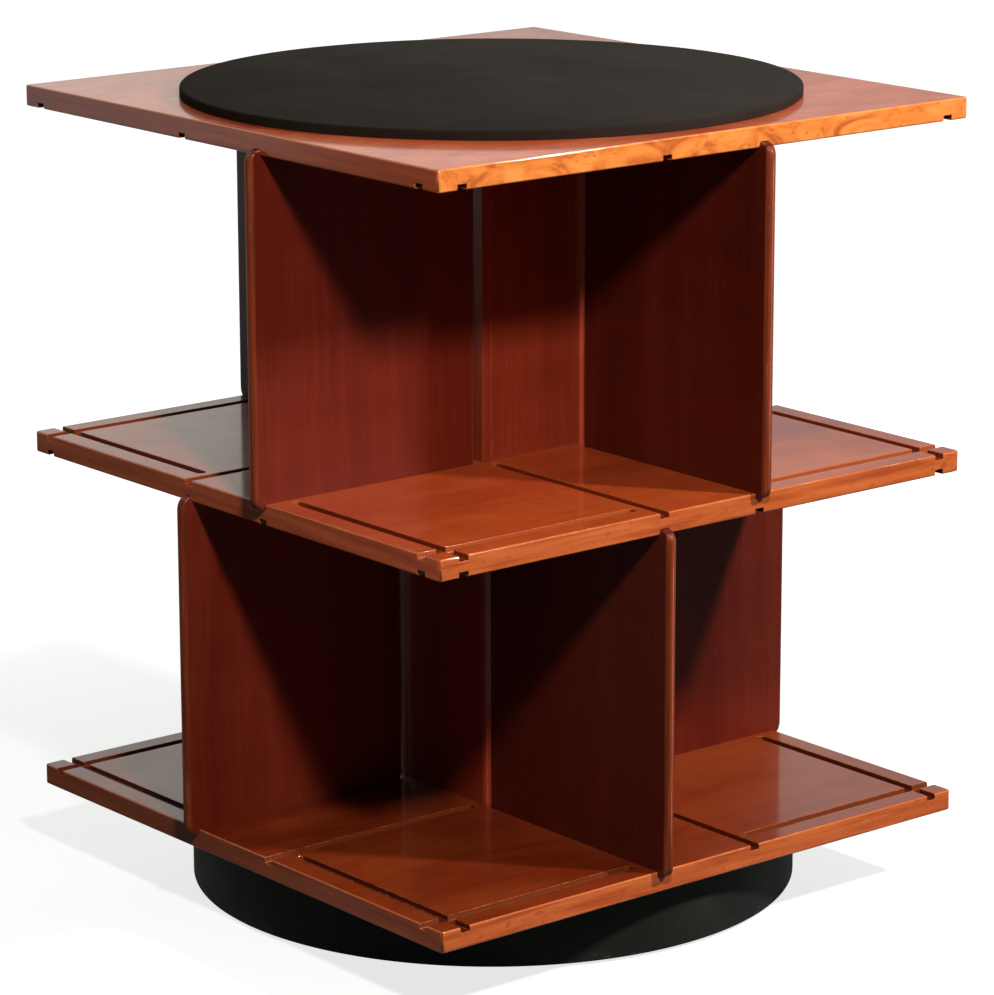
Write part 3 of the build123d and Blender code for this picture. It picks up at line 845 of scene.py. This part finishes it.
def board_shape(half_width, half_height, half_thickness, corner, ease_at_ends, ease_at_sides, arc_steps):
    """Board standing in the XZ plane, its thickness along Y, as a grid of profile by outline.

    An outline point has a corner sign s, even between the corners, and a normal n. Set in by d it lies at
    s (half size - max(r, d)) + n max(r - d, 0), r being the corner's radius. Its ease e is full where
    the outline faces the ends and small where it faces up or down. The profile goes round the edge by
    an angle p: in from the outline by e (1 - sin p), and out through the thickness by e cos p.
    """
    half_size = np.array([half_width, half_height])
    signs = np.array([(1, 1), (-1, 1), (-1, -1), (1, -1)], float)
    quarter = np.linspace(0.0, np.pi / 2, arc_steps + 1)
    between = np.linspace(0.0, 1.0, BOARD_EDGE_STEPS)[1:-1, None]
    corner_sign, normal = [], []
    for index in range(4):
        turn = quarter + index * np.pi / 2
        arc = np.column_stack([np.cos(turn), np.sin(turn)])
        corner_sign += [np.repeat(signs[index:index + 1], len(arc), axis=0),
                        signs[index] + (signs[(index + 1) % 4] - signs[index]) * between]
        normal += [arc, np.repeat(arc[-1:], len(between), axis=0)]
    corner_sign, normal = np.vstack(corner_sign), np.vstack(normal)
    ease = ease_at_sides + (ease_at_ends - ease_at_sides) * normal[:, 0] ** 2

    def ring(inset, scale, through):
        """One ring of the profile, set in from the outline, scaled and at a height through the board."""
        depth = inset[:, None]
        level = corner_sign * (half_size - np.maximum(corner, depth))
        level = level + normal * np.maximum(corner - depth, 0.0)
        return np.column_stack([level[:, 0] * scale, through + 0.0 * inset, level[:, 1] * scale])

    rows = [ring(ease + BOARD_SUPPORT, scale, half_thickness) for scale in (0.5, 0.9, 1.0)]
    for angle in quarter:
        rows.append(ring(ease * (1.0 - np.sin(angle)), 1.0, half_thickness - ease * (1.0 - np.cos(angle))))
    upper = np.array(rows)
    lower = upper[::-1] * np.array([1.0, -1.0, 1.0])
    poles = [(0.0, half_thickness, 0.0), (0.0, -half_thickness, 0.0)]
    return surface(np.concatenate([upper, lower]), poles=poles)


def turned(shape, angle, place):
    """Shape turned about the upright axis by an angle, then moved to a place."""
    points, faces = shape
    cosine, sine = math.cos(angle), math.sin(angle)
    turn = np.array([[cosine, -sine, 0.0], [sine, cosine, 0.0], [0.0, 0.0, 1.0]])
    return points @ turn.T + np.asarray(place), faces


def upright_grain(angle):
    """Mapping turn that lays the pattern's X along the upright and its Y across a board at an angle."""
    return (Matrix.Rotation(math.pi / 2, 3, "Y") @ Matrix.Rotation(-angle, 3, "Z")).to_euler()


def upright_veneer(node, angle, shift, tone, bare_share, warmth=0.0, half_round=False):
    """Lacquered veneer with upright grain, worn through to bare wood here and there on its edges.

    The tone is the share of red light that the wood gives back; warmth adds yellow to it. Half-round
    ends show the browner wood that the board is made of, under a thinner lacquer.
    """
    material, tree = new_material(f"{node}_veneer")
    low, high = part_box(node)
    place = object_place(tree)
    grain_place = object_place(tree, turn=upright_grain(angle), shift=shift)
    wood, scuffs = add_group(wood_group, grain_place), add_group(scuff_group, grain_place)
    shades = [(red, green * (1.0 + warmth), blue) for red, green, blue in BOARD_SHADES]
    face, (dark, _, light) = veneer_face(wood["Tone"], shades, tone)
    colour = mix(product(wood["Pore"], 0.3), face, dark)
    gloss, haze = COLUMN_GLOSS, COLUMN_HAZE
    if half_round:
        middle, half = (low + high) / 2, (high - low) / 2
        along = 0 if half.x > half.y else 1
        offset = maths("SUBTRACT", axes_of(place)[along], middle[along])
        reach, bend = max(half.x, half.y), min(half.x, half.y)
        at_end = spread(maths("ABSOLUTE", offset), reach - bend * 1.1, reach - bend * 0.8)
        streaks = noise(place, (300.0, 300.0, 12.0), detail=3.0)
        end_wood = ramp(streaks, [(0.35, toned(END_WOOD, 0.72)), (0.65, toned(END_WOOD, 1.25))])
        colour = mix(at_end, colour, end_wood)
        gloss = maths("MULTIPLY_ADD", at_end, DIVIDER_END_GLOSS - DIVIDER_GLOSS, DIVIDER_GLOSS)
        haze = DIVIDER_HAZE
    # Paler edges here are partly a painted highlight; the bare spots are real wear.
    worn, bare = edge_wear(place, low, high, BOARD_WEAR_WIDTH, colour, light, bare_share)
    rounded = add_node(tree, "Bevel", {"Radius": BOARD_ROUNDING}, samples=4).outputs[0]
    lacquered(tree, worn, wood, scuffs, bare, gloss, haze, rounded)
    return material


def add_board(node, body, angle, veneer, corner, side_ease, end_ease=None, arc_steps=ARC_STEPS):
    """Board as large as a CAD node and in its place; without an end ease its ends are half round."""
    low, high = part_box(node)
    half = (high - low) / 2
    width, thickness = max(half.x, half.y), min(half.x, half.y)
    shape = board_shape(width, half.z, thickness, corner, end_ease or thickness, side_ease, arc_steps)
    add_piece(f"{node}_board", turned(shape, angle, (low + high) / 2), body, veneer, [node])


for tier_index, tier in enumerate(TIERS):
    for side_index, (side, side_angle) in enumerate(SIDE_ANGLES.items()):
        column_node = f"{tier}_column_{side}"
        shift = (3.1 * side_index + 0.7, 1.9 * tier_index + 0.6 * side_index, 0.3)
        veneer = upright_veneer(column_node, side_angle, shift, COLUMN_TONE, COLUMN_BARE_SHARE, COLUMN_WARMTH)
        add_board(column_node, "carcass", side_angle, veneer, COLUMN_CORNER, COLUMN_EASE,
                  COLUMN_EASE)

# Dowels
# Beech pegs, glued half into the column boards and half into the shelves, hidden once it is together.
# The CAD pegs are kept, with the grain along them.
DOWEL_EASE = 0.4 * MILLIMETRE
beech_upright = beech("beech_dowels", upright_grain(0.0))
for tier in TIERS:
    dress_node(f"{tier}_column_dowels", beech_upright, DOWEL_EASE)

# Tie rod, washers and nuts
# A threaded steel rod runs up inside the columns and clamps the three shelves between two nuts, each
# on a washer at the bottom of its recess. All of it is zinc plated.
THREAD_PITCH = 1.5 * MILLIMETRE
THREAD_DEPTH = 0.9 * MILLIMETRE
THREAD_LENGTH = 30.0 * MILLIMETRE
THREAD_TURNS = 48
NUT_HEIGHT = 8.0 * MILLIMETRE
NUT_BORE = 5.1 * MILLIMETRE
NUT_EASE = 0.5 * MILLIMETRE
NUT_TURNS = 72
NUT_FACE_SHARE = 0.97
WASHER_ARRIS = 0.3 * MILLIMETRE


def threaded_rod(low, high, radius):
    """Rod with a screw thread cut on each end.

    The thread's groove is a triangle wave of z / pitch - turn / full turn, times the depth. It fades out
    one pitch past the thread's length, and a 45 degree cone cuts both tips.
    """
    steps = np.arange(0.0, THREAD_LENGTH + 2 * THREAD_PITCH, THREAD_PITCH / 6)
    height = np.concatenate([low + steps, high - steps[::-1]])[:, None]
    turn = np.linspace(0.0, 2.0 * np.pi, THREAD_TURNS, endpoint=False)
    phase = (height / THREAD_PITCH - turn / (2.0 * np.pi)) % 1.0
    groove = 1.0 - np.abs(2.0 * phase - 1.0)
    from_tip = np.minimum(height - low, high - height)
    fade = np.clip((THREAD_LENGTH - from_tip) / THREAD_PITCH, 0.0, 1.0)
    reach = np.minimum(radius - THREAD_DEPTH * groove * fade, radius - THREAD_DEPTH + from_tip)
    return surface(around(reach, height, turn), poles=[(0.0, 0.0, low), (0.0, 0.0, high)])


def hex_nut(low, half_flats, corner_turn):
    """Nut whose outline is half flats / cos(angle from the nearest flat's middle), coned by 30 degrees.

    A face is flat out to nearly the flats and falls from there to the corners; the bore is countersunk.
    """
    high = low + NUT_HEIGHT
    turn = corner_turn + np.linspace(0.0, 2.0 * np.pi, NUT_TURNS, endpoint=False)
    outline = half_flats / np.cos((turn - corner_turn) % (np.pi / 3) - np.pi / 6)
    face = half_flats * NUT_FACE_SHARE
    fall = (outline - face) * math.tan(math.pi / 6)
    mouth = NUT_BORE + NUT_EASE
    rings = [(NUT_BORE, low + NUT_EASE), (NUT_BORE, high - NUT_EASE), (mouth, high), (face, high),
             (outline, high - fall), (outline, low + fall), (face, low), (mouth, low)]
    return surface(np.stack([around(reach, height, turn) for reach, height in rings]))


rod_low, rod_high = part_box("tie_rod")
rod_shape = threaded_rod(rod_low.z, rod_high.z, rod_high.x)
add_piece("threaded_rod", rod_shape, "carcass", zinc, ["tie_rod"])
dress_node("tie_washers", zinc, WASHER_ARRIS)
nut_low, nut_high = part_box("tie_nuts")
nut_flats = min(nut_high.x, nut_high.y)
nut_corner = 0.0 if nut_high.x > nut_high.y else math.pi / 6
nut_shapes = [hex_nut(height, nut_flats, nut_corner) for height in (nut_low.z, nut_high.z - NUT_HEIGHT)]
nuts = add_piece("hex_nuts", joined(nut_shapes), "carcass", zinc, ["tie_nuts"])
nuts.data.polygons.foreach_set("use_smooth", np.zeros(len(nuts.data.polygons), bool))

# Dividers
# Eight loose boards with half-round ends, four in each tier, standing in the grooves like a pinwheel.
# Each is cut from its own leaf of veneer, lacquered all over, and slides out by its end.
DIVIDER_CORNER = 12.0 * MILLIMETRE
DIVIDER_SIDE_EASE = 0.8 * MILLIMETRE
DIVIDER_ARC_STEPS = 8
DIVIDER_BARE_SHARE = 0.7
DIVIDER_GLOSS, DIVIDER_END_GLOSS, DIVIDER_HAZE = 0.45, 0.07, 0.26
# Front and back dividers face along X, away from the right lamp, and are painted darker: partly their own
# leaves, partly painted shade.
DIVIDER_TONES_WITH_PAINTED_SHADE = {
    "upper_divider_left": 0.170, "upper_divider_right": 0.16, "upper_divider_front": 0.080,
    "upper_divider_back": 0.13, "lower_divider_left": 0.188, "lower_divider_right": 0.16,
    "lower_divider_front": 0.080, "lower_divider_back": 0.14,
}

for tier_index, tier in enumerate(TIERS):
    for side_index, (side, side_angle) in enumerate(SIDE_ANGLES.items()):
        divider_node = f"{tier}_divider_{side}"
        shift = (2.3 * side_index + 5.1 * tier_index, 0.9 * side_index + 0.4, 1.3 * tier_index)
        veneer = upright_veneer(divider_node, side_angle + math.pi / 2, shift, DIVIDER_TONES_WITH_PAINTED_SHADE[divider_node],
                                DIVIDER_BARE_SHARE, half_round=True)
        add_board(divider_node, divider_node, side_angle - math.pi / 2, veneer,
                  DIVIDER_CORNER, DIVIDER_SIDE_EASE, arc_steps=DIVIDER_ARC_STEPS)

# Top disc
# A thin round board covered with black leather, drawn over its softened edge and glued underneath.
# It lies in the middle of the top shelf and hides the upper nut.
DISC_TOP_EASE = 2.2 * MILLIMETRE
DISC_FOOT_EASE = 0.8 * MILLIMETRE
DISC_MIDDLE = 20.0 * MILLIMETRE
DISC_DRAW = 0.0011
DISC_WAVES = ((5, 0.30, 0.4), (13, 0.25, 1.9), (31, 0.22, 0.7), (47, 0.15, 2.6))
PEBBLES_PER_METRE = (620.0, 620.0, 620.0)
LEATHER_RELIEF = 0.07 * MILLIMETRE
# How much lighter the leather is painted towards +X: a painted light.
LEATHER_PAINTED_LIGHT_SLOPE = 0.8
# The third colour, in the creases between the pebbles, is a painted shade.
LEATHER_DARK, LEATHER_LIGHT, LEATHER_CREASE_PAINTED_SHADE = (44, 35, 25), (74, 62, 57), (28, 24, 21)


def leather():
    """Matt black leather, small pebbled cells: painted shade in the soft creases, painted light towards +X.
    """
    material, tree = new_material("black_leather")
    place = object_place(tree)
    pebbles = vector_maths("MULTIPLY", place, PEBBLES_PER_METRE)
    cells = add_node(tree, "TexVoronoi", {"Vector": pebbles}, feature="DISTANCE_TO_EDGE")
    smooth = spread(cells.outputs["Distance"], 0.0, 0.35)
    cloud = noise(place, 6.0, detail=5.0, rough=0.6)
    calm = spread(cloud, 0.2, 0.8, 0.35, 0.65, smooth=False)
    # Cloudy tone, plus a painted light that lightens the leather towards +X.
    clouds_and_painted_light = weighted((axes_of(place)[0], LEATHER_PAINTED_LIGHT_SLOPE), (calm, 1.0))
    colour = ramp(clouds_and_painted_light, [(0.3, shade(*LEATHER_DARK)), (0.7, shade(*LEATHER_LIGHT))])
    # The creases between the pebbles are painted darker: a painted shade.
    crease_shade_painted = mix(maths("SUBTRACT", 1.0, smooth), colour, shade(*LEATHER_CREASE_PAINTED_SHADE))
    relief = weighted((noise(place, 1500.0, detail=2.0), 0.2), (smooth, 1.0))
    finish_material(tree, {"Base Color": crease_shade_painted, "Roughness": spread(clouds_and_painted_light, 0.3, 0.7, 0.92, 0.66),
                           "Specular IOR Level": 0.025, "Normal": bumped(relief, LEATHER_RELIEF)})
    return material


disc_low, disc_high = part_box("top_disc")
disc_profile = eased_path(
    [(0.0, disc_low.z), (DISC_MIDDLE, disc_low.z), (disc_high.x, disc_low.z),
     (disc_high.x, disc_high.z), (DISC_MIDDLE, disc_high.z), (0.0, disc_high.z)],
    [0.0, 0.0, DISC_FOOT_EASE, DISC_TOP_EASE, 0.0, 0.0])
disc_points, disc_faces = revolved(disc_profile, closed=False)
disc_turn = np.arctan2(disc_points[:, 1], disc_points[:, 0])
drawn = sum(size * np.sin(count * disc_turn + start) for count, size, start in DISC_WAVES)
near_rim = np.clip(np.linalg.norm(disc_points[:, :2], axis=1) / disc_high.x, 0.0, 1.0) ** 8
disc_points = disc_points * (1.0 - DISC_DRAW * near_rim * (1.0 + drawn))[:, None] ** np.array([1.0, 1.0, 0.0])
add_piece("leather_disc", (disc_points, disc_faces), "carcass", leather(), ["top_disc"])
